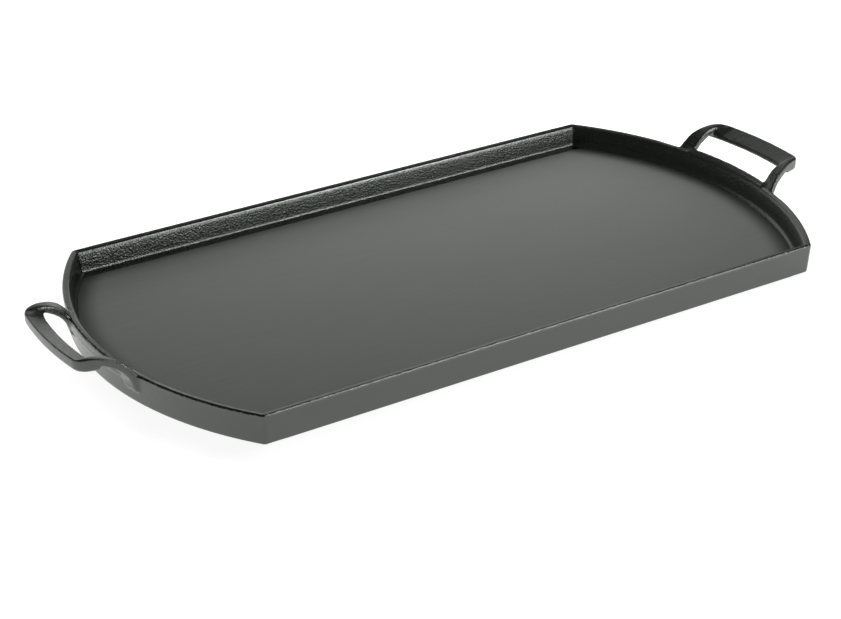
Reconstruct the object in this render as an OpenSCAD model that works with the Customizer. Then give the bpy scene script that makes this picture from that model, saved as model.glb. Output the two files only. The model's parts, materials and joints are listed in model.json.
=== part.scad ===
// Cast griddle plate for a camp stove: a long shallow tray with two straight sides,
// two bowed ends and a raised loop handle at each end.
// The real plate is one iron casting. It is drawn as the regions of that casting,
// which meet face to face. The origin is the middle of the underside, X runs along
// the plate and Z points up.

/* [Plate] */
// Width over the two long sides, at the rim
plate_w = 260; // [220:1:320]
// Length of each straight side at the rim, corner to corner
side_l = 401; // [320:1:500]
// How far each end bows out past its two corners
end_bow = 43.5; // [30:0.5:60]
// Height of the rim above the stove
plate_h = 20; // [17:0.5:30]
// Thickness of the cooking floor
floor_t = 5; // [4:0.5:8]
// Radius of the four upright corner edges
corner_r = 4; // [1:0.5:8]

/* [Wall] */
// Thickness of the wall at the rim
wall_t = 4.8; // [4:0.1:7]
// How far the outer face leans in from the rim to the base
outer_draft = 1.5; // [0.5:0.1:2]
// How far the inner face leans in from the rim to the floor
inner_draft = 1; // [0.2:0.1:2]
// How far the rim's top falls from its outer to its inner edge
rim_fall = 0.9; // [0:0.1:1.5]
// Radius of the rim's outer edge
rim_outer_r = 0.5; // [0.4:0.1:1.6]
// Radius of the rim's inner edge
rim_inner_r = 1.8; // [0.4:0.1:2]
// Radius of the inside corner where the wall meets the floor
foot_r = 3; // [1:0.1:4]
// Radius of the outer edge around the underside
base_r = 1.2; // [0.4:0.1:2]

/* [Handle] */
// Height of the handle's crown above the rim
handle_rise = 14.4; // [8:0.1:24]
// Distance of the crown out from the rim
crown_out = 22.8; // [18:0.1:25]
// Radius of the arch that the top of the arms follows
arch_r = 26.3; // [25:0.1:30]
// Thickness of the arms
arm_t = 4.7; // [3:0.1:6]
// Width of each arm at the rim
arm_root_w = 12.3; // [6:0.1:14]
// Width of each arm at the crown
arm_tip_w = 4.9; // [3:0.1:8]
// How far below the rim the arms spring from the wall
root_drop = 7.5; // [4:0.1:12]
// Thickness of the pad that joins the two arms along the wall
root_pad = 1; // [0.3:0.1:1.5]
// Radius of the flare between each arm and the wall
flare_r = 4; // [2:0.5:10]
// Length of the finger opening, from arm to arm
opening_l = 74.2; // [60:0.2:100]

/* [Grip] */
// Width across the underside of the grip
grip_w = 11.9; // [10:0.1:14]
// Distance of the grip's outer face beyond the crown
grip_out = 6.5; // [5:0.1:10]
// Depth of the grip's underside below the crown
grip_drop = 8.7; // [8:0.1:11]
// Height of the grip's inner edge, along the finger opening
grip_inner_h = 2.9; // [2.6:0.1:5]
// Height of the grip's outer face, up to which its top slopes
grip_outer_h = 8.2; // [7.6:0.1:8.6]
// Radius of the two corners of the inner edge
grip_inner_r = 1.5; // [0.5:0.1:1.5]
// Radius of the grip's outer top edge
grip_top_r = 2; // [0.5:0.1:2.2]
// Radius of the grip's outer lower edge
grip_under_r = 2.9; // [1:0.1:4.2]
// Radius of the handle's two outer corners, seen from above
handle_corner_r = 8.5; // [3:0.5:9]

/* [Hidden] */
$fn = 128;
floor_colour = [0.38, 0.39, 0.38];
wall_colour = [0.29, 0.30, 0.29];
handle_colour = [0.33, 0.34, 0.33];

// Overlap of cutting shapes, which keeps their faces off the faces that they cut
cut_lap = 2;
// Roundings stop a hair short of tangent, so that each one ends in a clean edge
ease = 0.003;

half_w = plate_w / 2;
// The end arcs: radius, and the distance of their centres from the middle
end_r = (half_w * half_w + end_bow * end_bow) / (2 * end_bow);
arc_x = side_l / 2 + end_bow - end_r;
arc_centre = [arc_x, 0];
// Angle by which each sweep runs past the cuts that end it
sweep_room = 3;
// Half angle of the end wall's sweep
end_sweep = asin(half_w / end_r) + sweep_room;

function unit(v) = v / norm(v);
// Half of the angle at corner p, between its edges to a and b
function half_angle(a, p, b) = acos(unit(a - p) * unit(b - p)) / 2;
// Distance from corner p to where a radius r touches its edges
function touch(a, p, b, r) = r / tan(half_angle(a, p, b));
// Centre of the radius r in corner p
function round_centre(a, p, b, r) =
    p + unit(unit(a - p) + unit(b - p)) * r / sin(half_angle(a, p, b));
// Where the line from p along d leaves the circle of radius r about the end arc's centre
function leave_circle(p, d, r) =
    let (q = p - arc_centre, along = q * d)
    p + d * (sqrt(along * along - q * q + r * r) - along);
// Point at distance r from the end arc's centre, on the way to p
function on_arc(p, r) = arc_centre + unit(p - arc_centre) * r;

// Waste outside a radius r in the corner p between the edges to a and b
module round_waste(a, p, b, r) {
    centre = round_centre(a, p, b, r);
    touch_a = p + unit(a - p) * touch(a, p, b, r);
    touch_b = p + unit(b - p) * touch(a, p, b, r);
    difference() {
        polygon([
            centre, touch_a + unit(touch_a - centre) * cut_lap,
            p + unit(p - centre) * 2 * cut_lap, touch_b + unit(touch_b - centre) * cut_lap
        ]);
        translate(centre)
            circle(r * (1 + ease));
    }
}

// Outline whose outward corners are rounded, each by its own radius (0 leaves it sharp)
module rounded_outline(points, radii) {
    last = len(points) - 1;
    difference() {
        polygon(points);
        for (i = [0:last])
            if (radii[i] > 0)
                round_waste(points[i == 0 ? last : i - 1], points[i],
                    points[i == last ? 0 : i + 1], radii[i]);
    }
}

// The wall's section: X is the distance in from the rim's outer edge, Y the height
rim_in = [wall_t, plate_h - rim_fall];
inner_foot = [wall_t + inner_draft, floor_t];
floor_side = inner_foot + [1, 0];
foot_touch = touch(rim_in, inner_foot, floor_side, foot_r);
foot_in = inner_foot[0] + foot_touch;

module wall_section() {
    foot_centre = round_centre(rim_in, inner_foot, floor_side, foot_r);
    up_wall = inner_foot + unit(rim_in - inner_foot) * foot_touch;
    difference() {
        rounded_outline(
            [[outer_draft, 0], [0, plate_h], rim_in, up_wall, foot_centre, [foot_in, 0]],
            [base_r, rim_outer_r, rim_inner_r, 0, 0, 0]
        );
        translate(foot_centre - [foot_r * ease, 0])
            circle(foot_r);
    }
}

// The corners of the plate in plan, at the rim and at the floor's edge
rim_corner = [side_l / 2, half_w];
floor_corner = leave_circle([arc_x, half_w - foot_in], [1, 0], end_r - foot_in);
mitre = unit(rim_corner - floor_corner);
mitre_out = rim_corner + mitre * cut_lap;
mitre_in = floor_corner - mitre * cut_lap;

function flip_y(p) = [p[0], -p[1]];

// Waste outside one upright corner edge, leaning in with the walls
module corner_waste() {
    centre = leave_circle([arc_x, half_w - corner_r], [1, 0], end_r - corner_r);
    side_touch = [centre[0], half_w];
    arc_touch = on_arc(centre, end_r);
    base_corner = leave_circle([arc_x, half_w - outer_draft], [1, 0], end_r - outer_draft);
    lean = base_corner - rim_corner;
    translate([rim_corner[0], rim_corner[1], plate_h])
        rotate(a = atan(norm(lean) / plate_h), v = [lean[1], -lean[0], 0])
            translate([-rim_corner[0], -rim_corner[1], -plate_h - cut_lap])
                linear_extrude(plate_h + 2 * cut_lap)
                    difference() {
                        polygon([
                            centre, side_touch + [0, cut_lap],
                            rim_corner + unit(rim_corner - centre) * cut_lap,
                            arc_touch + unit(arc_touch - centre) * cut_lap
                        ]);
                        translate(centre)
                            circle(corner_r * (1 + ease));
                    }
}

// Front side: a straight run of the wall's section, mitred and rounded at both corners
module straight_wall() {
    difference() {
        intersection() {
            translate([-side_l / 2 - cut_lap, -half_w, 0])
                rotate([90, 0, 90])
                    linear_extrude(side_l + 2 * cut_lap)
                        wall_section();
            translate([0, 0, -cut_lap])
                linear_extrude(plate_h + 2 * cut_lap)
                    polygon([-mitre_out, flip_y(mitre_out), flip_y(mitre_in), -mitre_in]);
        }
        for (side = [0, 1])
            mirror([side, 0, 0])
                mirror([0, 1, 0])
                    corner_waste();
    }
}

// The handle's arch in section: X is the distance from the end arc's centre
crown_z = plate_h + handle_rise;
crown_r = end_r + crown_out;
arch_centre = [crown_r, crown_z - arch_r];
under_r = arch_r - arm_t;
grip_r = crown_r + grip_out;
// Underside of the arms: a straight brace from the wall, touching the arch's underside
brace_foot = [end_r - outer_draft * root_drop / plate_h, plate_h - root_drop];
brace_gap = norm(arch_centre - brace_foot);
brace_r = under_r * (1 - ease);
brace_angle = asin(brace_r / brace_gap)
    + atan2(arch_centre[1] - brace_foot[1], arch_centre[0] - brace_foot[0]);
brace_way = [cos(brace_angle), sin(brace_angle)];
brace_top = brace_foot + brace_way * sqrt(brace_gap * brace_gap - brace_r * brace_r);
// The roots of the handle are sunk to the middle of the wall
root_r = end_r - wall_t / 2;

module arm_section() {
    difference() {
        intersection() {
            translate(arch_centre)
                circle(arch_r);
            translate([root_r, brace_foot[1] - wall_t / 2])
                square([grip_r + cut_lap - root_r, crown_z]);
        }
        translate(arch_centre)
            circle(under_r);
        polygon([
            brace_foot - brace_way * wall_t, brace_top, arch_centre,
            arch_centre - [0, arch_r], [root_r - cut_lap, arch_centre[1] - arch_r]
        ]);
    }
}

// The grip in section: a bar whose top slopes in towards the finger opening
module grip_section() {
    grip_in = grip_r - grip_w;
    grip_z = crown_z - grip_drop;
    rounded_outline(
        [
            [grip_in, grip_z], [grip_in, grip_z + grip_inner_h],
            [grip_r, grip_z + grip_outer_h], [grip_r, grip_z]
        ],
        [grip_inner_r, grip_inner_r, grip_top_r, grip_under_r]
    );
}

opening_half = opening_l / 2;
// Half angle of the handle's sweep, out of which its plan is cut
handle_sweep = asin((opening_half + arm_root_w + 2 * flare_r) / root_r) + sweep_room;

module swept_handle() {
    translate([arc_x, 0, 0])
        rotate([0, 0, -handle_sweep])
            rotate_extrude(angle = 2 * handle_sweep)
                children();
}

// The arm at the back, seen from above. Its outer side narrows towards the crown
arm_root = [arc_x + end_r, opening_half + arm_root_w];
arm_tip = [arc_x + crown_r, opening_half + arm_tip_w];
arm_way = unit(arm_tip - arm_root);
arm_out = [-arm_way[1], arm_way[0]];

// Where the arm's outer side would meet the grip's outer face, were the corner not rounded
corner = leave_circle(arm_root, arm_way, grip_r);

// Waste outside the handle's rounded outer corner
module handle_corner_waste() {
    corner_centre = leave_circle(
        arm_root - arm_out * handle_corner_r, arm_way, grip_r - handle_corner_r
    );
    corner_dir = unit(corner_centre - arc_centre);
    difference() {
        polygon([
            corner_centre, corner_centre + arm_out * (handle_corner_r + cut_lap),
            corner + unit(corner - corner_centre) * 2 * cut_lap,
            corner_centre + corner_dir * (handle_corner_r + cut_lap)
        ]);
        translate(corner_centre)
            circle(handle_corner_r * (1 + ease));
    }
}

module arm_plan() {
    flare_centre = leave_circle(arm_root + arm_out * flare_r, arm_way, root_r + flare_r);
    root_in = leave_circle([arc_x, opening_half], [1, 0], root_r - cut_lap);
    difference() {
        intersection() {
            polygon([
                root_in, [corner[0] + handle_corner_r, opening_half],
                corner + arm_way * handle_corner_r, flare_centre - arm_out * flare_r,
                flare_centre, on_arc(flare_centre, root_r - cut_lap)
            ]);
            translate(arc_centre)
                circle(grip_r);
        }
        translate(flare_centre)
            circle(flare_r * (1 + ease));
        handle_corner_waste();
    }
}

// The arms leave the wall's own region at a flat face just clear of the root pad
arm_seam_x = arc_x + end_r + 2 * root_pad;

module arm_prism() {
    linear_extrude(crown_z + cut_lap)
        arm_plan();
}

// Everything on the wall's side of the arms' seam (way -1) or beyond it (way 1)
module beside_seam(way) {
    reach = grip_r;
    translate([way > 0 ? arm_seam_x : arm_seam_x - reach, -reach, -cut_lap])
        cube([reach, 2 * reach, crown_z + 2 * cut_lap]);
}

// Right end: the bowed wall, with the roots of the arms and the pad between them
module end_wall() {
    difference() {
        intersection() {
            translate([arc_x, 0, 0])
                rotate([0, 0, -end_sweep])
                    rotate_extrude(angle = 2 * end_sweep)
                        translate([end_r, 0])
                            mirror([1, 0])
                                wall_section();
            translate([0, 0, -cut_lap])
                linear_extrude(plate_h + 2 * cut_lap)
                    polygon([
                        flip_y(mitre_in), flip_y(mitre_out), [side_l, -half_w - cut_lap],
                        [side_l, half_w + cut_lap], mitre_out, mitre_in
                    ]);
        }
        for (side = [0, 1])
            mirror([0, side, 0])
                corner_waste();
    }
    for (side = [0, 1])
        mirror([0, side, 0])
            intersection() {
                swept_handle()
                    arm_section();
                arm_prism();
                beside_seam(-1);
            }
    intersection() {
        swept_handle()
            intersection() {
                arm_section();
                square([end_r + root_pad, crown_z]);
            }
        // The pad runs on into the roots of the arms
        translate([0, -opening_half - cut_lap, 0])
            cube([side_l, opening_l + 2 * cut_lap, crown_z]);
    }
}

// Back arm of the right handle, with its corner of the grip
module arm() {
    intersection() {
        union() {
            swept_handle()
                arm_section();
            swept_handle()
                grip_section();
        }
        arm_prism();
        beside_seam(1);
    }
}

// Grip of the right handle, between its arms. A wide corner rounding begins on it
module grip() {
    difference() {
        intersection() {
            swept_handle()
                grip_section();
            translate([0, -opening_half, 0])
                cube([side_l, opening_l, crown_z + cut_lap]);
        }
        for (side = [0, 1])
            mirror([0, side, 0])
                linear_extrude(crown_z + cut_lap)
                    handle_corner_waste();
    }
}

// The cooking floor fills the plan inside the foot of the walls
module floor_plan() {
    difference() {
        square([side_l + 2 * end_bow, 2 * floor_corner[1]], center = true);
        for (side = [0, 1])
            mirror([side, 0])
                difference() {
                    translate([arc_x, -half_w])
                        square([side_l, plate_w]);
                    translate(arc_centre)
                        circle(end_r - foot_in);
                }
    }
}

module cooking_floor() {
    color(floor_colour)
        linear_extrude(floor_t)
            floor_plan();
}

module front_wall() {
    color(wall_colour)
        straight_wall();
}

module back_wall() {
    color(wall_colour)
        mirror([0, 1, 0])
            straight_wall();
}

module right_end_wall() {
    color(wall_colour)
        end_wall();
}

module left_end_wall() {
    color(wall_colour)
        mirror([1, 0, 0])
            end_wall();
}

// One arm: which end of the plate, and which side of its handle
module handle_arm(left, front) {
    color(handle_colour)
        mirror([left ? 1 : 0, 0, 0])
            mirror([0, front ? 1 : 0, 0])
                arm();
}

module handle_grip(left) {
    color(handle_colour)
        mirror([left ? 1 : 0, 0, 0])
            grip();
}

cooking_floor();
front_wall();
back_wall();
left_end_wall();
right_end_wall();
handle_arm(left = true, front = true);  // left_front_arm
handle_arm(left = true, front = false);  // left_back_arm
handle_grip(left = true);  // left_grip
handle_arm(left = false, front = true);  // right_front_arm
handle_arm(left = false, front = false);  // right_back_arm
handle_grip(left = false);  // right_grip
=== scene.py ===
# %% [markdown]
# # A cast griddle plate
# The photograph shows a long, shallow griddle plate of dark cast iron. It has a smooth flat
# cooking floor, a low wall all round with a rounded rim, bowed ends and a raised loop handle
# at each end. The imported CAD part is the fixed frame: it gives the place and the size of
# everything. The looks are modelled around it here, in metres and in the same axes.

import json
import math

import bmesh
import bpy
from mathutils import Matrix, Vector

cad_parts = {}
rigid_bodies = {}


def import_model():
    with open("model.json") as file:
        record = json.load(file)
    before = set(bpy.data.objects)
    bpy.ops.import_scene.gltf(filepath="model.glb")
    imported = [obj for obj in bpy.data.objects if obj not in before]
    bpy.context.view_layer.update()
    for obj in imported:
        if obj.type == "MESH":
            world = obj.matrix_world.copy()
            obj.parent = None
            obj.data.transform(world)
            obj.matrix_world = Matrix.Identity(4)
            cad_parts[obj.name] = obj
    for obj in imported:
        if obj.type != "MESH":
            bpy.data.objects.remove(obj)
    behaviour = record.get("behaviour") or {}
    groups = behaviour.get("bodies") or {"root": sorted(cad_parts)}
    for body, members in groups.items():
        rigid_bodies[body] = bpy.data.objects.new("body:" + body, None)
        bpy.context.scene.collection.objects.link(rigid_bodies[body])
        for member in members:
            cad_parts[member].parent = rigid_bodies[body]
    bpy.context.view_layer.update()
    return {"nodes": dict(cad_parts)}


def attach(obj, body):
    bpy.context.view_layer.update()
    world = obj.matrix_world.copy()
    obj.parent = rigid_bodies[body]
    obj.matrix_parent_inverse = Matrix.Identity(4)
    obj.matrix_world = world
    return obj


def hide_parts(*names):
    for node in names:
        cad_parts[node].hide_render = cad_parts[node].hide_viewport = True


bpy.ops.object.select_all(action="SELECT")
bpy.ops.object.delete()
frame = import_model()
print("CAD nodes:", sorted(frame["nodes"]))

# %% [markdown]
# The plate's plan is a strip between two straight sides, closed at each end by an arc. The
# arc's middle lies on the long axis. These few numbers place every piece below, so they are
# written once. Everything is given in millimetres and turned into metres by MM.

# %% Sizes
MM = 0.001
HALF_WIDTH = 130.0  # from the long axis to a side, at the rim
ARC_RADIUS = 216.0  # of the bowed ends, at the rim
ARC_X = 28.0  # the arc's middle, right of the plate's middle
FLOOR_HEIGHT = 5.0
FOOT = 8.6  # from the rim's outer edge in to the edge of the flat floor
CORNER_X = ARC_X + math.sqrt(ARC_RADIUS**2 - HALF_WIDTH**2)
print("straight side in mm:", round(2 * CORNER_X, 1))


# %% [markdown]
# Small helpers stand in for the clicks of a session by hand. One makes an object the only
# selected one, one opens edit mode with everything selected, and one cuts with a plane and
# keeps the side that its arrow points away from.

# %% Helpers for selecting and cutting
def pick(obj):
    bpy.ops.object.select_all(action="DESELECT")
    obj.select_set(True)
    bpy.context.view_layer.objects.active = obj


def open_edit(obj, kind="VERT"):
    pick(obj)
    bpy.ops.object.mode_set(mode="EDIT")
    bpy.ops.mesh.select_mode(type=kind)
    bpy.ops.mesh.select_all(action="SELECT")


def close_edit():
    bpy.ops.object.mode_set(mode="OBJECT")


def slice_off(point_mm, arrow, fill=True):
    bpy.ops.mesh.select_all(action="SELECT")
    bpy.ops.mesh.bisect(
        plane_co=Vector(point_mm) * MM,
        plane_no=Vector(arrow).normalized(),
        use_fill=fill,
        clear_outer=True,
    )


def apply_modifiers(obj):
    pick(obj)
    for modifier in list(obj.modifiers):
        bpy.ops.object.modifier_apply(modifier=modifier.name)


def triangles(obj):
    return sum(len(p.vertices) - 2 for p in obj.data.polygons)


# %% [markdown]
# The plan itself could be drawn as a curve. Here it is cut out of a many-sided cylinder,
# because that keeps the arc exact: the sides are sliced straight, the far half is sliced
# away at the middle, and a Mirror modifier brings it back for the other end.

# %% A block with the plate's plan
ARC_STEPS = 480  # sides of the full cylinder, so 0.75 degrees each
ROOM = 5.0  # points of the arc this close to a side are left out, for the mitres
HAIR = 0.001  # points closer than this count as one
MERGE = 0.01  # the mirrored halves are joined across this gap
FLAT = math.radians(0.05)  # faces that meet at less than this are made one


def plan_block(name, margin, low, high):
    bpy.ops.mesh.primitive_cylinder_add(
        vertices=ARC_STEPS,
        radius=(ARC_RADIUS - margin) * MM,
        depth=(high - low) * MM,
        location=(ARC_X * MM, 0, (low + high) / 2 * MM),
    )
    block = bpy.context.object
    block.name = name
    bpy.ops.object.transform_apply(location=True, rotation=True, scale=True)
    open_edit(block)
    slice_off((0, HALF_WIDTH - margin, 0), (0, 1, 0))
    slice_off((0, margin - HALF_WIDTH, 0), (0, -1, 0))
    slice_off((0, 0, 0), (-1, 0, 0), fill=False)
    close_edit()
    mirror = block.modifiers.new("other end", "MIRROR")
    mirror.use_axis[0] = True
    mirror.merge_threshold = MERGE * MM
    apply_modifiers(block)
    open_edit(block)
    bpy.ops.mesh.dissolve_limited(angle_limit=FLAT)
    bpy.ops.mesh.select_all(action="DESELECT")
    mesh = bmesh.from_edit_mesh(block.data)
    side = (HALF_WIDTH - margin) * MM
    for edge in mesh.edges:
        a, b = (v.co for v in edge.verts)
        near = side - ROOM * MM < abs(a.y) < side - HAIR * MM
        edge.select_set(near and (a - b).xy.length < HAIR * MM)
    bmesh.update_edit_mesh(block.data)
    bpy.ops.mesh.dissolve_edges(use_verts=True)
    close_edit()
    return block


# %% [markdown]
# **The cooking floor** is the ground flat inside the walls. Its plan is the same outline, drawn
# in to where the wall's foot runs out. A curve with a fill would do as well, but the block above
# is already there. A narrow inset on the underside keeps its shading flat right to the edge. The
# top stays as it is, because the wall's foot meets it there.

# %% Cooking floor
HOLDING_EDGE = 0.4  # width of the inset
cooking_floor = plan_block("griddle_floor", FOOT, 0.0, FLOOR_HEIGHT)
open_edit(cooking_floor, "FACE")
bpy.ops.mesh.select_all(action="DESELECT")
edit_mesh = bmesh.from_edit_mesh(cooking_floor.data)
for face in edit_mesh.faces:
    face.select_set(face.normal.z < -0.9)
bmesh.update_edit_mesh(cooking_floor.data)
bpy.ops.mesh.inset(thickness=HOLDING_EDGE * MM, depth=0)
close_edit()
print("floor:", len(cooking_floor.data.polygons), "faces")

# %% [markdown]
# **The wall** has the same section all round: a drafted outer face, a rounded rim whose top
# falls to the inside, an inner face that is arched a little, and a hollow foot that runs out
# into the floor. It could be swept along a path. Working inwards from a thin slab with insets
# is closer to how the outline is read from the photograph: every inset is one step in and one
# step up or down, and the mitres at the corners come by themselves.
#
# The two lists hold these steps as (distance in from the rim's outer edge, height). The first
# goes over the rim and down to the floor, the second goes down the outside and under.

# %% The wall's section
OUTER_ROUND, INNER_ROUND, FOOT_ROUND = 1.3, 2.0, 2.3
WIDEST = (0.10, 18.65)  # where the outer face ends and the rim's rounding begins
RIM_SLOPE = math.radians(14.5)  # by which the rim's top falls to the inside
RIM_TOP_END = 3.6  # in from the outer edge
FACE_LEAN = 15  # degrees at the top of the inner face; it is upright at the foot
OUTER_FOOT = (1.41, 1.3)  # where the outer face ends below
BASE_MIDDLE, BASE_ROUND = (2.6, 1.2), 1.2


def quarter(middle, radius, start, end, steps):
    points = []
    for i in range(1, steps + 1):
        turn = math.radians(start + (end - start) * i / steps)
        points.append((middle[0] + radius * math.cos(turn), middle[1] + radius * math.sin(turn)))
    return points


top_way = 90 - math.degrees(RIM_SLOPE)  # the way that the rim's top faces, in degrees
rim_outer = quarter((WIDEST[0] + OUTER_ROUND, WIDEST[1]), OUTER_ROUND, 180, top_way, 4)
top_start = rim_outer[-1]
rim_top_end = (RIM_TOP_END, top_start[1] - (RIM_TOP_END - top_start[0]) * math.tan(RIM_SLOPE))
round_x = rim_top_end[0] - INNER_ROUND * math.sin(RIM_SLOPE)
round_z = rim_top_end[1] - INNER_ROUND * math.cos(RIM_SLOPE)
rim_inner = quarter((round_x, round_z), INNER_ROUND, top_way, FACE_LEAN, 5)
foot_z = FLOOR_HEIGHT + FOOT_ROUND
face_round = (rim_inner[-1][1] - foot_z) / math.sin(math.radians(FACE_LEAN))
inner_face = quarter((FOOT - FOOT_ROUND - face_round, foot_z), face_round, FACE_LEAN, 0, 5)
foot = quarter((FOOT, foot_z), FOOT_ROUND, 180, 270, 7)
over_rim = rim_outer + [rim_top_end] + rim_inner + inner_face + foot
under = [OUTER_FOOT] + quarter(BASE_MIDDLE, BASE_ROUND, 184, 270, 4)
print("section points:", len(over_rim) + len(under))


# %% [markdown]
# An inset works on the selected face, so the slab's wide top or underside is picked before each
# walk. As the insets go inwards, a rounded corner gets tighter until its points meet, so there
# they are merged, and the inner corner goes on as a plain mitre.

# %% Helpers for walking inwards
def widest_face(mesh, up):
    faces = [f for f in mesh.faces if f.normal.z * up > 0.9]
    return max(faces, key=lambda f: f.calc_area())


def select_cap(obj, up):
    bpy.ops.mesh.select_mode(type="FACE")
    bpy.ops.mesh.select_all(action="DESELECT")
    mesh = bmesh.from_edit_mesh(obj.data)
    mesh.normal_update()
    widest_face(mesh, up).select_set(True)
    bmesh.update_edit_mesh(obj.data)


def walk_in(points, start, up):
    at = start
    for point in points:
        across, rise = point[0] - at[0], (point[1] - at[1]) * up
        bpy.ops.mesh.inset(thickness=across * MM, depth=rise * MM, use_even_offset=True)
        at = point
    return at


def mitre_point(margin):
    across = HALF_WIDTH - margin
    along = ARC_X + math.sqrt((ARC_RADIUS - margin) ** 2 - across**2)
    return Vector((along, across)) * MM


def merge_corners(obj, up, margin, reach=2.5):
    bpy.ops.mesh.select_mode(type="VERT")
    for right in (-1, 1):
        for back in (-1, 1):
            corner = Matrix.Diagonal((right, back)) @ mitre_point(margin)
            bpy.ops.mesh.select_all(action="DESELECT")
            mesh = bmesh.from_edit_mesh(obj.data)
            for v in widest_face(mesh, up).verts:
                v.select_set((v.co.xy - corner).length < reach * MM)
            bpy.ops.mesh.merge(type="CENTER")
            mesh = bmesh.from_edit_mesh(obj.data)
            for v in mesh.verts:
                if v.select:
                    v.co.xy = corner
            bmesh.update_edit_mesh(obj.data)


# %% [markdown]
# The ring starts as a slab at its widest height. The four upright corners are beveled first,
# while they are single edges. Then one walk goes over the rim and down to the floor, and one
# goes down the outside and under. Bridging the two faces that are left opens the middle.

# %% Wall ring
SLAB = 0.2  # thickness of the slab
CORNER_CUT = 2.0  # gives the upright corners a radius of 4
ring = plan_block("wall_ring", WIDEST[0], WIDEST[1] - SLAB, WIDEST[1])
open_edit(ring, "EDGE")
bpy.ops.mesh.select_all(action="DESELECT")
edit_mesh = bmesh.from_edit_mesh(ring.data)
for edge in edit_mesh.edges:
    a, b = edge.verts
    upright = abs(a.co.z - b.co.z) > 0.1 * MM
    along = abs(abs(a.co.x) - CORNER_X * MM) < 0.5 * MM
    at_side = abs(a.co.y) > (HALF_WIDTH - 1) * MM
    edge.select_set(upright and along and at_side)
bmesh.update_edit_mesh(ring.data)
bpy.ops.mesh.bevel(offset=CORNER_CUT * MM, offset_type="OFFSET", segments=6)
select_cap(ring, 1)
at = walk_in(over_rim[: len(rim_outer) + 1], WIDEST, 1)
merge_corners(ring, 1, at[0])
select_cap(ring, 1)
walk_in(over_rim[len(rim_outer) + 1 :], at, 1)
select_cap(ring, -1)
at = walk_in(under, (WIDEST[0], WIDEST[1] - SLAB), -1)
merge_corners(ring, -1, at[0])
select_cap(ring, -1)
walk_in([(FOOT, 0.0)], at, -1)
edit_mesh = bmesh.from_edit_mesh(ring.data)
edit_mesh.normal_update()
widest_face(edit_mesh, 1).select_set(True)
bmesh.update_edit_mesh(ring.data)
bpy.ops.mesh.bridge_edge_loops()
close_edit()
print("ring:", len(ring.data.polygons), "faces")

# %% [markdown]
# The straight sides are plain runs of the ring, so they are cut out of it as they are. The
# ends are cut a little way along the straight sides, clear of the corners, because they are
# worked further below, together with the handles that grow out of them. Both are left a little
# too long: where exactly they meet is settled once the ends are finished.

# %% Cut the ring into sides and ends
END_CUT = 185.0  # about here the ends begin, well inside the corners
SPARE = 4.0  # sides and ends are left this much longer until the ends are finished


def cut_copy(source, name, cuts):
    pick(source)
    bpy.ops.object.duplicate()
    copy = bpy.context.object
    copy.name = name
    open_edit(copy)
    for point, arrow in cuts:
        slice_off(point, arrow)
    close_edit()
    return copy


side_end = END_CUT + SPARE
side_cuts = [((side_end, 0, 0), (1, 0, 0)), ((-side_end, 0, 0), (-1, 0, 0))]
front_side = cut_copy(ring, "griddle_front_side", [((0, 0, 0), (0, 1, 0))] + side_cuts)
back_side = cut_copy(ring, "griddle_back_side", [((0, 0, 0), (0, -1, 0))] + side_cuts)
right_end = cut_copy(ring, "griddle_right_end", [((END_CUT - SPARE, 0, 0), (-1, 0, 0))])
bpy.data.objects.remove(ring)
print("sides:", len(front_side.data.polygons), "faces; end:", len(right_end.data.polygons))

# %% [markdown]
# **The loop handle** is a bar held out on two arms that arch up from the wall. Its parts are
# made straight first and bowed with the end wall afterwards, so X counts from the middle of
# the end arc for now. Each part is a closed solid that runs a little way into the next one,
# ready to be fused.
#
# The edges are rounded like a whittled stick, by a row of small cuts around each of them. A
# bevel would do the same on a simple box, but not where three slanting faces meet. The fusing
# and smoothing further below turns the facets into true curves.

# %% Sizes of the handle, and helpers to whittle it
CROWN = (238.8, 34.4)  # top of the arms: distance from the arc's middle, and height
GRIP_OUT, GRIP_IN = 245.28, 233.4
GRIP_LOW, GRIP_TOP = 25.7, 33.9
INNER_EDGE = 28.6  # height of the grip's inner edge
UNDER_ROUND, END_ROUND = 2.9, 2.9  # of the lower edge, outside and at the ends
OPENING = 37.1  # half of the finger opening
TAPER_POINT, TAPER_ARROW = (216.0, 49.4, 0), (7.4, 22.8, 0)
CORNER_MIDDLE, CORNER_ROUND = (236.8, 33.7, 0), 8.5  # of the handle's outer corners
CORNER_TURNS = range(8, 74, 8)  # degrees, one whittling cut each


def both_sides(point, arrow):
    slice_off(point, arrow)
    slice_off((point[0], -point[1], 0), (arrow[0], -arrow[1], 0))


def select_parts(obj, kind, test):
    bpy.ops.mesh.select_mode(type=kind)
    bpy.ops.mesh.select_all(action="DESELECT")
    mesh = bmesh.from_edit_mesh(obj.data)
    mesh.normal_update()
    parts = {"VERT": mesh.verts, "EDGE": mesh.edges, "FACE": mesh.faces}[kind]
    found = [part for part in parts if test(part)]
    for part in found:
        part.select_set(True)
    mesh.select_flush_mode()
    bmesh.update_edit_mesh(obj.data)


def whittle(middle, radius, ways):
    for way in ways:
        arrow = Vector(way).normalized()
        slice_off(Vector(middle) + arrow * radius, arrow)


def arrow_at(turn, dip=0):
    turn, dip = math.radians(turn), math.radians(dip)
    return (math.cos(turn) * math.cos(dip), math.sin(turn) * math.cos(dip), -math.sin(dip))


def plan_corners():
    for side in (1, -1):
        middle = (CORNER_MIDDLE[0], side * CORNER_MIDDLE[1], 0)
        whittle(middle, CORNER_ROUND, [arrow_at(side * turn) for turn in CORNER_TURNS])


# %% [markdown]
# The grip is a box whose top slopes in towards the finger opening, so that it is high outside
# and thin inside. Near the arms the inner edge is lifted, so that the slope turns up into them
# like the corner of a dish. Two slanting cuts give the handle its taper towards the outside. A
# section drawn out along Y would do for the bar alone, but not for these corners, so points of
# the box are moved.

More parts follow.
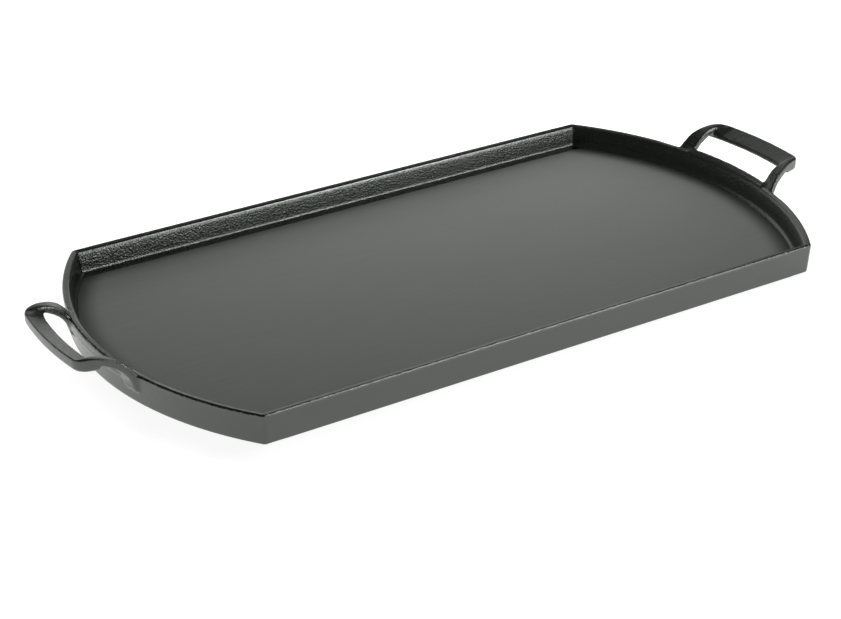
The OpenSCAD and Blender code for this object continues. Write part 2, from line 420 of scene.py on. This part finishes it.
# %% The grip
GRIP_BLANK = 110  # length of the box that the grip is cut from
LIFT_START, LIFT_END = 7, 1  # where the inner edge turns up, before and behind the arm's side
LIFTED_DROP = 1.5  # what is left of the slope at the lifted corners
UNDER_DIPS, END_DIPS = (15, 35, 55, 75), (25, 50, 75)  # degrees below level
END_TURNS = (20, 40, 60, 74)  # degrees around the handle's corners


def top_inner(v):
    return v.co.x < GRIP_IN * MM + 1e-5 and v.co.z > (GRIP_LOW + GRIP_TOP) / 2 * MM


bpy.ops.mesh.primitive_cube_add(size=1)
grip = bpy.context.object
grip.name = "grip"
grip.scale = Vector((GRIP_OUT - GRIP_IN, GRIP_BLANK, GRIP_TOP - GRIP_LOW)) * MM
grip.location = Vector(((GRIP_OUT + GRIP_IN) / 2, 0, (GRIP_TOP + GRIP_LOW) / 2)) * MM
bpy.ops.object.transform_apply(location=True, rotation=True, scale=True)
open_edit(grip)
lift_start, lift_end = OPENING - LIFT_START, OPENING + LIFT_END
for y in (-lift_end, -lift_start, lift_start, lift_end):
    bpy.ops.mesh.select_all(action="SELECT")
    bpy.ops.mesh.bisect(plane_co=(0, y * MM, 0), plane_no=(0, 1, 0))
select_parts(grip, "VERT", lambda v: top_inner(v) and abs(v.co.y) < OPENING * MM)
bpy.ops.transform.translate(value=(0, 0, (INNER_EDGE - GRIP_TOP) * MM))
select_parts(grip, "VERT", lambda v: top_inner(v) and abs(v.co.y) > OPENING * MM)
bpy.ops.transform.translate(value=(0, 0, -LIFTED_DROP * MM))
both_sides(TAPER_POINT, TAPER_ARROW)
plan_corners()
lower_edge = (GRIP_OUT - UNDER_ROUND, 0, GRIP_LOW + UNDER_ROUND)
whittle(lower_edge, UNDER_ROUND, [arrow_at(0, dip) for dip in UNDER_DIPS])
for side in (-1, 1):
    for turn in END_TURNS:
        reach = CORNER_ROUND - END_ROUND
        middle = Vector((CORNER_MIDDLE[0], side * CORNER_MIDDLE[1], GRIP_LOW + END_ROUND))
        middle += Vector(arrow_at(side * turn)) * reach
        whittle(middle, END_ROUND, [arrow_at(side * turn, dip) for dip in END_DIPS])
close_edit()
print("grip:", len(grip.data.polygons), "faces")

# %% [markdown]
# Between the arms a low pad lifts the rim's outer edge. It could be pulled out of the wall, but
# as a bar of its own it can be fused with the rest below. Two slanting cuts along its top leave
# a crest, and a third lets the underside run back to the wall.

# %% The pad between the arms
PAD_IN, PAD_OUT, PAD_LOW, PAD_TOP = 212.0, 217.3, 8.0, 21.6
PAD_OVERLAP = 3  # the pad runs this far into each arm
PAD_CREST, PAD_EASE = 1.2, 1.0  # the crest lies this far in from the outer edge and above it
PAD_RUN = 6  # height over which the underside runs back
bpy.ops.mesh.primitive_cube_add(size=1)
pad = bpy.context.object
pad.name = "pad"
pad_length = 2 * OPENING + 2 * PAD_OVERLAP
pad.scale = Vector((PAD_OUT - PAD_IN, pad_length, PAD_TOP - PAD_LOW)) * MM
pad.location = Vector(((PAD_OUT + PAD_IN) / 2, 0, (PAD_TOP + PAD_LOW) / 2)) * MM
bpy.ops.object.transform_apply(location=True, rotation=True, scale=True)
open_edit(pad)
slice_off((PAD_OUT - PAD_CREST, 0, PAD_TOP), (-0.5, 0, 1))
slice_off((PAD_OUT, 0, PAD_TOP - PAD_EASE), (1, 0, 1.2))
slice_off((PAD_OUT, 0, PAD_LOW + PAD_RUN), (4, 0, -6))
close_edit()
print("pad:", len(pad.data.polygons), "faces")

# %% [markdown]
# The arms follow an arch. A curve could be swept, but a ring is quicker and its radius is
# exact. A disc with an inset gives the ring its thickness, it is drawn out to the arm's width,
# and cuts leave the part from the wall to the grip's outer face. The cut face at the bottom is
# drawn down and narrowed, so that the root dies away on the wall, as the light on it in the
# photograph shows. Beside each arm the same ring, cut off at a slant, makes the flare with
# which the arm spreads onto the rim.

# %% The arms and their flares
ARCH_RADIUS, ARM_THICK, ARCH_STEPS = 26.3, 4.7, 180
ARCH_LOW = CROWN[1] - ARCH_RADIUS
ARM_BLANK = 65.0  # from the long axis to the far side of an arm, before the taper is cut
ROOT_Z, ROOT_DRAW = 9.0, 6  # height where the arch is cut, and how far the root is drawn down
ROOT_IN, ROOT_NARROW = 3.4, 0.3  # the drawn root's depth in the wall and share of its thickness
FLARE_OUT = 224.0  # how far out a flare reaches
FLARE_POINT, FLARE_ARROW = (216.0, 51.9, 0), (3.4, 2.6, 0)


def is_root(face):
    return face.normal.z < -0.99 and face.calc_center_median().z < (ROOT_Z + 1) * MM


def arch_part(name, near, far, outer_cut, point, arrow):
    bpy.ops.mesh.primitive_circle_add(
        vertices=ARCH_STEPS,
        radius=ARCH_RADIUS * MM,
        fill_type="NGON",
        location=(CROWN[0] * MM, near * MM, ARCH_LOW * MM),
        rotation=(math.radians(90), 0, 0),
    )
    part = bpy.context.object
    part.name = name
    bpy.ops.object.transform_apply(location=True, rotation=True, scale=True)
    open_edit(part, "FACE")
    bpy.ops.mesh.inset(thickness=ARM_THICK * MM, depth=0)
    bpy.ops.mesh.delete(type="FACE")
    bpy.ops.mesh.select_all(action="SELECT")
    width = (far - near) * MM
    bpy.ops.mesh.extrude_region_move(TRANSFORM_OT_translate={"value": (0, width, 0)})
    slice_off((outer_cut, 0, 0), (1, 0, 0))
    slice_off((0, 0, ROOT_Z), (0, 0, -1))
    both_sides(point, arrow)
    plan_corners()
    select_parts(part, "FACE", is_root)
    bpy.ops.mesh.extrude_region_move(TRANSFORM_OT_translate={"value": (0, 0, -ROOT_DRAW * MM)})
    in_wall = ((ARC_RADIUS - ROOT_IN) * MM, 0, 0)
    bpy.ops.transform.resize(value=(ROOT_NARROW, 1, 1), center_override=in_wall)
    bpy.ops.mesh.select_all(action="SELECT")
    bpy.ops.mesh.normals_make_consistent(inside=False)
    close_edit()
    return part


parts = [pad]
for name, near, far in (("back", OPENING, ARM_BLANK), ("front", -ARM_BLANK, -OPENING)):
    parts.append(arch_part(f"{name}_arm", near, far, GRIP_OUT, TAPER_POINT, TAPER_ARROW))
    parts.append(arch_part(f"{name}_flare", near, far, FLARE_OUT, FLARE_POINT, FLARE_ARROW))
print("arch parts:", [(part.name, len(part.data.polygons)) for part in parts])

# %% [markdown]
# Fusing them with a voxel Remesh does what the foundry does: there is one skin, and no line
# shows where one part ends. After it the mesh is fine enough to be bowed: every point slides
# back along X by as much as the end arc has curved away at its distance from the middle.

# %% Fuse and bow the handle
VOXEL = 0.55  # fine enough for the grip's thin inner edge


def fuse(obj, size):
    remesh = obj.modifiers.new("one skin", "REMESH")
    remesh.mode = "VOXEL"
    remesh.voxel_size = size * MM
    apply_modifiers(obj)


pick(grip)
for part in parts:
    part.select_set(True)
bpy.ops.object.join()
handle = bpy.context.object
fuse(handle, VOXEL)
for v in handle.data.vertices:
    v.co.x = ARC_X * MM + math.sqrt(v.co.x**2 - v.co.y**2)
print("handle:", triangles(handle), "triangles")

# %% [markdown]
# The handle and the end wall are joined and fused in the same way. A Boolean union would keep
# sharp lines where they meet, and a casting has none.

# %% Fuse the handle into the end wall
pick(right_end)
handle.select_set(True)
bpy.ops.object.join()
fuse(right_end, VOXEL)
print("fused end:", triangles(right_end), "triangles")


# %% [markdown]
# A Smooth modifier relaxes the skin a little everywhere but at the cut, which rounds the edges
# as sand casting does. In some places it works longer, through a vertex group: it makes soft
# fillets at the roots of the arms, dishes the corners of the grip, takes the voxel steps off
# the pad and widens the hollow at the wall's foot, as the photograph shows it at the right end.
# Brushes would do this by eye, but a rule does the same at every run.
#
# Each rule gives a point's share from its place in millimetres and from rho, its distance from
# the arc's middle. A ramp starts at its first number and is complete at its second.

# %% Smooth the skin
def ramp(value, low, high):
    t = min(1.0, max(0.0, (value - low) / (high - low)))
    return t * t * (3 - 2 * t)


def weigh(obj, name, rule):
    group = obj.vertex_groups.new(name=name)
    for v in obj.data.vertices:
        p = v.co / MM
        weight = rule(math.hypot(p.x - ARC_X, p.y), p)
        if weight > 0.01:
            group.add([v.index], weight, "REPLACE")


def at_root(rho, p):
    beside = ramp(abs(p.y), 30, 38) * (1 - ramp(abs(p.y), 58, 66))
    near = ramp(rho, ARC_RADIUS - 3, ARC_RADIUS - 1) * (1 - ramp(rho, 221, 226))
    return beside * near * ramp(p.z, 0.5, 4.0) * (1 - ramp(p.z, 24.0, 29.0))


def at_grip_corner(rho, p):
    inside = ramp(abs(p.y), 27, 33) * (1 - ramp(abs(p.y), 39, 42))
    return inside * ramp(rho, 226, 231) * (1 - ramp(rho, 239, 243)) * ramp(p.z, 27.5, 29.5)


def on_pad(rho, p):
    return (1 - ramp(abs(p.y), 34, 40)) * ramp(rho, 212.5, 214) * ramp(p.z, 15, 18)


def at_foot(rho, p):
    depth = ARC_RADIUS - rho
    inner = ramp(depth, 4.6, 5.0) * (1 - ramp(depth, 8.2, 8.55))
    away = ramp(HALF_WIDTH - abs(p.y), 9, 14)
    return inner * away * ramp(p.z, FLOOR_HEIGHT, FLOOR_HEIGHT + 0.4) * (1 - ramp(p.z, 10, 13))


def clear_of_cut(rho, p):
    return ramp(p.x, END_CUT + 1, END_CUT + 6)


rules = {
    "root": (at_root, 40),
    "grip corner": (at_grip_corner, 40),
    "pad": (on_pad, 8),
    "foot": (at_foot, 150),
    "edges": (clear_of_cut, 5),
}
for name, (rule, times) in rules.items():
    weigh(right_end, name, rule)
    smooth = right_end.modifiers.new(name, "SMOOTH")
    smooth.factor, smooth.iterations, smooth.vertex_group = 0.5, times, name
apply_modifiers(right_end)
print("smoothed:", ", ".join(rules))

# %% [markdown]
# Sides and end are now trimmed to one seam. A cut that grazes a column of the fused mesh's
# points leaves slivers, and their odd normals show as a line. So the cut goes through the
# middle of the widest gap between two columns.

# %% Trim sides and end to one seam
near_cut = [v.co.x / MM for v in right_end.data.vertices if abs(v.co.x / MM - END_CUT) < 1]
columns = sorted({round(x, 2) for x in near_cut})
widest_gap = max(zip(columns, columns[1:]), key=lambda pair: pair[1] - pair[0])
seam_x = sum(widest_gap) / 2
right_trim, left_trim = ((seam_x, 0, 0), (1, 0, 0)), ((-seam_x, 0, 0), (-1, 0, 0))
end_trim = ((seam_x, 0, 0), (-1, 0, 0))
side_trims = [right_trim, left_trim]
for piece, cuts in ((right_end, [end_trim]), (front_side, side_trims), (back_side, side_trims)):
    open_edit(piece)
    for point, arrow in cuts:
        slice_off(point, arrow)
    close_edit()
print("right end with handle:", triangles(right_end), "triangles; seam between", widest_gap)

# %% [markdown]
# The end is cut once more, where the arms leave the wall, so that the handle can be picked as
# a piece of its own. The left end is the same casting pattern, so it is a mirrored copy.

# %% Handles, and the left end
SEAM = 246.0  # from the plate's middle, just outside the wall
right_handle = cut_copy(right_end, "griddle_right_handle", [((SEAM, 0, 0), (-1, 0, 0))])
right_wall = cut_copy(right_end, "griddle_right_end_wall", [((SEAM, 0, 0), (1, 0, 0))])
bpy.data.objects.remove(right_end)


def mirrored(source, name):
    pick(source)
    bpy.ops.object.duplicate()
    copy = bpy.context.object
    copy.name = name
    open_edit(copy)
    bpy.ops.transform.resize(value=(-1, 1, 1), center_override=(0, 0, 0))
    bpy.ops.mesh.flip_normals()
    close_edit()
    return copy


left_handle = mirrored(right_handle, "griddle_left_handle")
left_wall = mirrored(right_wall, "griddle_left_end_wall")
print("end wall:", triangles(right_wall), "handle:", triangles(right_handle), "triangles")

# %% [markdown]
# Every piece now stands for its CAD nodes and rides with the one body. Shading smooth all over
# would bend the light on the floor and on the cut ends, so the pieces are shaded smooth only
# across small angles.

# %% Put the pieces on the frame
SMOOTH_UP_TO = math.radians(35)
ends = {
    "left": (left_wall, left_handle),
    "right": (right_wall, right_handle),
}
for side, (wall, loop) in ends.items():
    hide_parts(f"{side}_end_wall")
    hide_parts(f"{side}_front_arm", f"{side}_back_arm", f"{side}_grip")
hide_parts("cooking_floor")
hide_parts("front_wall")
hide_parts("back_wall")
walls = [front_side, back_side, left_wall, right_wall]
handles = [left_handle, right_handle]
for piece in [cooking_floor, *walls, *handles]:
    pick(piece)
    bpy.ops.object.shade_smooth_by_angle(angle=SMOOTH_UP_TO)
    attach(piece, "root")


# %% [markdown]
# **Materials.** Seasoned cast iron is iron under a baked film of oil, dark and slightly glossy.
# Nearly all the light on the cast skin is mirrored by that film, so its base colour is almost
# black and the roughness decides what is seen. Nodes make it without an image, so it stays
# sharp from near by. A few helpers add a node, set its constants and wire it, so that the cells
# below read like their node trees.

# %% Node helpers
def add(tree, kind, sockets=None, **settings):
    node = tree.nodes.new(kind)
    for name, value in settings.items():
        setattr(node, name, value)
    for name, value in (sockets or {}).items():
        socket = node.inputs[name]
        if isinstance(value, bpy.types.NodeSocket):
            tree.links.new(value, socket)
        else:
            socket.default_value = value
    return node


def math_node(tree, operation, *values):
    return add(tree, "ShaderNodeMath", dict(enumerate(values)), operation=operation).outputs[0]


def map_range(tree, value, source, target=(0.0, 1.0), **settings):
    limits = zip(("From Min", "From Max", "To Min", "To Max"), (*source, *target))
    sockets = {"Value": value, **dict(limits)}
    return add(tree, "ShaderNodeMapRange", sockets, **settings).outputs["Result"]


def blend(tree, kind, factor, a, b):
    sockets = {"Factor": factor, "A": a, "B": b}
    return add(tree, "ShaderNodeMix", sockets, data_type=kind).outputs["Result"]


def new_material(name):
    material = bpy.data.materials.new(name)
    material.use_nodes = True
    tree = material.node_tree
    tree.nodes.clear()
    output = tree.nodes.new("ShaderNodeOutputMaterial")
    return material, tree, output


# %% [markdown]
# The grain of the cast skin and the painted shade on the floor towards the bowed ends depend on
# how far a point lies in from the rim of those ends. A painted mask would be tied to one mesh. A
# few Math nodes work the distance out from the object coordinates, by Pythagoras, in the same way
# for every piece.

# %% Distance in from the bowed ends
def end_gap(tree, x, y):
    beyond = math_node(tree, "SUBTRACT", math_node(tree, "ABSOLUTE", x), ARC_X * MM)
    beyond = math_node(tree, "MAXIMUM", beyond, 0.0)
    squares = math_node(
        tree, "ADD", math_node(tree, "POWER", beyond, 2.0), math_node(tree, "POWER", y, 2.0)
    )
    return math_node(tree, "SUBTRACT", ARC_RADIUS * MM, math_node(tree, "SQRT", squares))


# %% [markdown]
# The cast skin is pebbled by the sand of the mould. Two sizes of noise make its height: round
# grains about a millimetre apart, and a slow waviness under them. The grains are coarse on the
# wall's inner face, middling on the rim's outer edge and on top of the handles, and fine on the
# foot and elsewhere, so the group works out from the position how far in and how high a point
# lies. It is a node group, because the walls and the handles share it.

# %% Cast skin as a node group
FINE, MIDDLING, COARSE, AT_FOOT = 0.10, 0.45, 1.0, 0.3  # shares of the full grain
UNDER_RIM = (17.8 * MM, 18.6 * MM)  # heights between which the rim's outer edge begins
RIM_EDGE_ENDS = (1.2 * MM, 2.0 * MM)  # these three are depths, in from the outer edge
FACE_BEGINS = (4.9 * MM, 5.3 * MM)
FOOT_BEGINS = (5.8 * MM, 6.8 * MM)
GRAIN_SCALE, FINE_SCALE, WAVE_SCALE = 750.0, 1200.0, 160.0
WAVE_SHARE = 0.3


def group_socket(tree, name, direction, value=None):
    kind = "NodeSocketFloat"
    made = tree.interface.new_socket(name=name, in_out=direction, socket_type=kind)
    if value is not None:
        made.default_value = value


skin = bpy.data.node_groups.new("cast_skin_height", "ShaderNodeTree")
group_socket(skin, "Grain", "INPUT", 1.0)
group_socket(skin, "Height", "OUTPUT")
group_in = skin.nodes.new("NodeGroupInput")
group_out = skin.nodes.new("NodeGroupOutput")
points = add(skin, "ShaderNodeTexCoord").outputs["Object"]
axes = add(skin, "ShaderNodeSeparateXYZ", {"Vector": points}).outputs
from_axis = math_node(skin, "ABSOLUTE", axes["Y"])
side_depth = math_node(skin, "SUBTRACT", HALF_WIDTH * MM, from_axis)
depth = math_node(skin, "MINIMUM", end_gap(skin, axes["X"], axes["Y"]), side_depth)
high_up = map_range(skin, axes["Z"], UNDER_RIM, (FINE, MIDDLING))
on_edge = map_range(skin, depth, RIM_EDGE_ENDS, (high_up, FINE))
inside = map_range(skin, depth, FACE_BEGINS, (on_edge, COARSE))
on_foot = map_range(skin, depth, FOOT_BEGINS, (COARSE, AT_FOOT))
grains = add(skin, "ShaderNodeTexVoronoi", {"Vector": points, "Scale": GRAIN_SCALE})
fine = add(skin, "ShaderNodeTexNoise", {"Vector": points, "Scale": FINE_SCALE, "Detail": 3.0})
slow = add(skin, "ShaderNodeTexNoise", {"Vector": points, "Scale": WAVE_SCALE, "Detail": 2.0})
grit = math_node(skin, "ADD", grains.outputs["Distance"], fine.outputs["Fac"])
for share in (group_in.outputs["Grain"], inside, on_foot):
    grit = math_node(skin, "MULTIPLY", grit, share)
waves = math_node(skin, "MULTIPLY", slow.outputs["Fac"], WAVE_SHARE)
skin.links.new(math_node(skin, "ADD", grit, waves), group_out.inputs["Height"])
print("cast skin:", len(skin.nodes), "nodes")

# %% [markdown]
# The walls and the handles take one material with different numbers: the handles have a lower
# grain on deeper waves and are a little duller. The film of burnt oil is faintly green. It
# mirrors more than plain oil does, which a higher IOR stands for. A coat layer could do the
# same, but with a base this dark one layer is enough.

# %% Cast iron for the walls and the handles
OIL_TINT = (0.93, 1.0, 0.925, 1.0)
OIL_IOR = 1.9


def cast_material(name, colour, roughness, grain, depth_mm):
    material, tree, output = new_material(name)
    height = add(tree, "ShaderNodeGroup", {"Grain": grain}, node_tree=skin).outputs["Height"]
    relief = {"Height": height, "Distance": depth_mm * MM, "Strength": 1.0}
    bump = add(tree, "ShaderNodeBump", relief)
    shader = add(
        tree,
        "ShaderNodeBsdfPrincipled",
        {
            "Base Color": (*colour, 1),
            "Roughness": roughness,
            "IOR": OIL_IOR,
            "Specular Tint": OIL_TINT,
            "Normal": bump.outputs["Normal"],
        },
    )
    tree.links.new(shader.outputs["BSDF"], output.inputs["Surface"])
    return material


wall_iron = cast_material(
    "cast_wall_iron", colour=(0.0045, 0.005, 0.0045), roughness=0.24, grain=1.0, depth_mm=0.42
)
handle_iron = cast_material(
    "cast_handle_iron", colour=(0.0055, 0.006, 0.0055), roughness=0.28, grain=0.55, depth_mm=0.60
)
print("materials:", wall_iron.name, handle_iron.name)

# %% [markdown]
# The cooking floor is ground flat, which leaves a matt grey face with faint long streaks: noise
# that is stretched along X. The wheel does not reach quite to the long sides, where a strip of
# the dark cast skin is left. Towards the bowed ends the grey darkens softly; that is painted
# shade, standing in for the end walls' shadow and dark reflection on the floor. Painting this
# would take a texture, so masks made from the distances separate the finishes and lay on the shade
# instead.

# %% Floor material
STRIP, STRIP_BLUR = 13.5 * MM, 0.3 * MM  # the dark strip, from the outer edge, and its soft edge
# painted shade: from the foot of the bowed ends the grey darkens, in place of the end walls'
# shadow and reflection
END_SHADE = (FOOT * MM, 24.0 * MM)  # from the foot of the ends to where the grey is whole
END_GREY = 0.25  # the share of the grey that is left at the foot
STREAKED = (6.0, 160.0, 1.0)  # the noise runs along X and changes quickly along Y
DARK_GREY, LIGHT_GREY = (0.052, 0.055, 0.051, 1), (0.071, 0.075, 0.070, 1)
# the first colour below is the painted shade at the foot of the bowed ends
PAINTED_SHADE, SKIN_BLACK = (0.005, 0.005, 0.005, 1), (0.003, 0.003, 0.003, 1)
SATIN, DULL, SKIN_GLOSS = 0.38, 0.46, 0.2  # roughness
GROUND_IOR = 1.2  # the ground face hardly mirrors

floor_iron, tree, output = new_material("ground_floor_iron")
points = add(tree, "ShaderNodeTexCoord").outputs["Object"]
stretch = add(tree, "ShaderNodeMapping", {"Vector": points, "Scale": STREAKED}).outputs["Vector"]
noise = add(tree, "ShaderNodeTexNoise", {"Vector": stretch, "Scale": 3.0, "Detail": 5.0})
streaks = noise.outputs["Fac"]
axes = add(tree, "ShaderNodeSeparateXYZ", {"Vector": points}).outputs
from_axis = math_node(tree, "ABSOLUTE", axes["Y"])
edge = HALF_WIDTH * MM - STRIP
skin_strip = map_range(tree, from_axis, (edge - STRIP_BLUR, edge + STRIP_BLUR))
end_depth = end_gap(tree, axes["X"], axes["Y"])
# painted shade towards the bowed ends, mixed into the grey below
painted_shade_share = map_range(
    tree, end_depth, END_SHADE, (END_GREY, 1.0), interpolation_type="SMOOTHSTEP"
)
ground_face = blend(tree, "RGBA", streaks, DARK_GREY, LIGHT_GREY)
shaded_face = blend(tree, "RGBA", painted_shade_share, PAINTED_SHADE, ground_face)
dullness = map_range(tree, streaks, (0.0, 1.0), (SATIN, DULL))
shader = add(
    tree,
    "ShaderNodeBsdfPrincipled",
    {
        "Base Color": blend(tree, "RGBA", skin_strip, shaded_face, SKIN_BLACK),
        "Roughness": blend(tree, "FLOAT", skin_strip, dullness, SKIN_GLOSS),
        "IOR": GROUND_IOR,
        "Specular Tint": OIL_TINT,
    },
)
tree.links.new(shader.outputs["BSDF"], output.inputs["Surface"])
print("floor material:", len(tree.nodes), "nodes")

# %% [markdown]
# Each piece shows one finish all over, so its slots are emptied and filled with one material.
# Pieces with more than one would need their faces assigned to slots, which the split into floor,
# walls and handles spares.

# %% Give the pieces their materials
for pieces, iron in (([cooking_floor], floor_iron), (walls, wall_iron), (handles, handle_iron)):
    for piece in pieces:
        piece.data.materials.clear()
        piece.data.materials.append(iron)
    print(iron.name, "on", [piece.name for piece in pieces])

# %% [markdown]
# **Stage.** The plate lies on white paper. The photograph's ground is pure white, so the paper
# glows for the camera. It glows for mirror rays too, because the glossy walls show the white
# table. For all other light it is a dull grey, which keeps a faint shadow and doesn't light the
# plate from below. The Light Path node tells these rays apart.

# %% Studio floor
PAPER_SIZE, PAPER_DROP = 12, 0.0002  # metres; it lies a hair under the plate
PAPER_SEEN, PAPER_MIRRORED = 0.92, 1.02  # strength of the glow
PAPER_GREY = (0.25, 0.25, 0.25, 1)
WHITE = (1, 1, 1, 1)
bpy.ops.mesh.primitive_plane_add(size=PAPER_SIZE, location=(0, 0, -PAPER_DROP))
ground = bpy.context.object
ground.name = "studio_floor"
paper, tree, output = new_material("white_paper")
path = add(tree, "ShaderNodeLightPath").outputs
lit = add(tree, "ShaderNodeBsdfDiffuse", {"Color": PAPER_GREY})
for_camera = math_node(tree, "MULTIPLY", path["Is Camera Ray"], PAPER_SEEN)
for_mirror = math_node(tree, "MULTIPLY", path["Is Glossy Ray"], PAPER_MIRRORED)
strength = math_node(tree, "ADD", for_camera, for_mirror)
glow = add(tree, "ShaderNodeEmission", {"Color": WHITE, "Strength": strength})
mixed = add(tree, "ShaderNodeAddShader", {0: lit.outputs[0], 1: glow.outputs[0]})
tree.links.new(mixed.outputs[0], output.inputs["Surface"])
ground.data.materials.append(paper)
print("stage:", ground.name, PAPER_SIZE, "m wide")

# %% [markdown]
# The room is white to the camera and dark to the plate, which would look flat with light from
# everywhere. A picture of a studio could stand around it, but one plain strength for matt
# surfaces and one for mirror rays are easier to set.

# %% World
AMBIENT, ROOM_MIRRORED = 0.08, 0.07
world = bpy.data.worlds.new("studio")
bpy.context.scene.world = world
world.use_nodes = True
tree = world.node_tree
tree.nodes.clear()
path = add(tree, "ShaderNodeLightPath").outputs
ambient, mirrored_room, white = (
    add(tree, "ShaderNodeBackground", {"Color": WHITE, "Strength": strength}).outputs[0]
    for strength in (AMBIENT, ROOM_MIRRORED, 1.0)
)
room = add(tree, "ShaderNodeMixShader", {0: path["Is Glossy Ray"], 1: ambient, 2: mirrored_room})
sockets = {0: path["Is Camera Ray"], 1: room.outputs[0], 2: white}
choice = add(tree, "ShaderNodeMixShader", sockets)
output = tree.nodes.new("ShaderNodeOutputWorld")
tree.links.new(choice.outputs[0], output.inputs["Surface"])
print("world:", world.name, "with", len(tree.nodes), "nodes")

# %% [markdown]
# **Light.** Two soft lamps close behind the plate and at its right light the matt floor. They
# are hidden from mirror rays, because the cast skin shows other things: a low white sweep
# behind, a card at the back right, and two lights at the front right whose lines run along the
# rims and sparkle on the grains. The last two are hidden from matt surfaces. One light for
# everything would be simpler, but floor and skin could not be matched apart.

# %% Lights
MIDDLE = (0, 0, 0)


def soft_light(name, place, target, size, watts):
    bpy.ops.object.light_add(type="AREA", location=place)
    lamp = bpy.context.object
    lamp.name = name
    lamp.data.shape = "RECTANGLE"
    lamp.data.size, lamp.data.size_y = size
    lamp.data.energy = watts
    way = Vector(target) - Vector(place)
    lamp.rotation_euler = way.to_track_quat("-Z", "Y").to_euler()
    return lamp


main_light = soft_light("main_light", (0.15, 0.42, 0.26), MIDDLE, size=(0.9, 0.40), watts=9.2)
right_light = soft_light("right_light", (0.70, -0.05, 0.62), (0.1, 0, 0), size=(0.6, 0.6), watts=6)
for lamp in (main_light, right_light):
    lamp.visible_glossy = False
soft_light("back_sweep", (0.42, 1.50, 0.32), (0.42, 0, 0.32), size=(2.05, 0.64), watts=3.1)
soft_light("back_right_card", (0.75, 1.30, 1.00), (0.2, 0, 0.02), size=(0.8, 0.35), watts=0.9)
key_light = soft_light("key_light", (0.95, -1.25, 1.30), MIDDLE, size=(0.7, 0.7), watts=18)
front_light = soft_light("front_light", (0.95, -1.75, 0.48), MIDDLE, size=(1.2, 0.8), watts=14)
for lamp in (key_light, front_light):
    lamp.visible_diffuse = False

# %% [markdown]
# **Camera.** The photograph's view was found by fitting a camera to the plate's own corners and
# edges: its place, a long lens and a small roll. A Track To constraint would aim it too, but it
# leaves no room for the roll, so the three axes of the view are worked out.

# %% Camera
AZIMUTH, ELEVATION, ROLL = (math.radians(v) for v in (-32.2531, 26.5893, 0.7027))
CAMERA_PLACE = (-0.6337, -0.9789, 0.5590)
LENS, SENSOR = 85.18, 36  # millimetres
flat = math.cos(ELEVATION)
back = Vector((math.sin(AZIMUTH) * flat, -math.cos(AZIMUTH) * flat, math.sin(ELEVATION)))
right = Vector((math.cos(AZIMUTH), math.sin(AZIMUTH), 0))
down = -back.cross(right)
x_axis = right * math.cos(ROLL) + down * math.sin(ROLL)
y_axis = -(down * math.cos(ROLL) - right * math.sin(ROLL))
bpy.ops.object.camera_add()
camera = bpy.context.object
camera.name = "photo_camera"
camera.data.sensor_width = SENSOR
camera.data.lens = LENS
camera.data.clip_start, camera.data.clip_end = 0.01, 50
turn = Matrix((x_axis, y_axis, back)).transposed().to_4x4()
camera.matrix_world = Matrix.Translation(CAMERA_PLACE) @ turn
bpy.context.scene.camera = camera
bpy.context.scene.view_settings.view_transform = "Standard"
print("camera at", CAMERA_PLACE, "with a lens of", LENS, "mm")
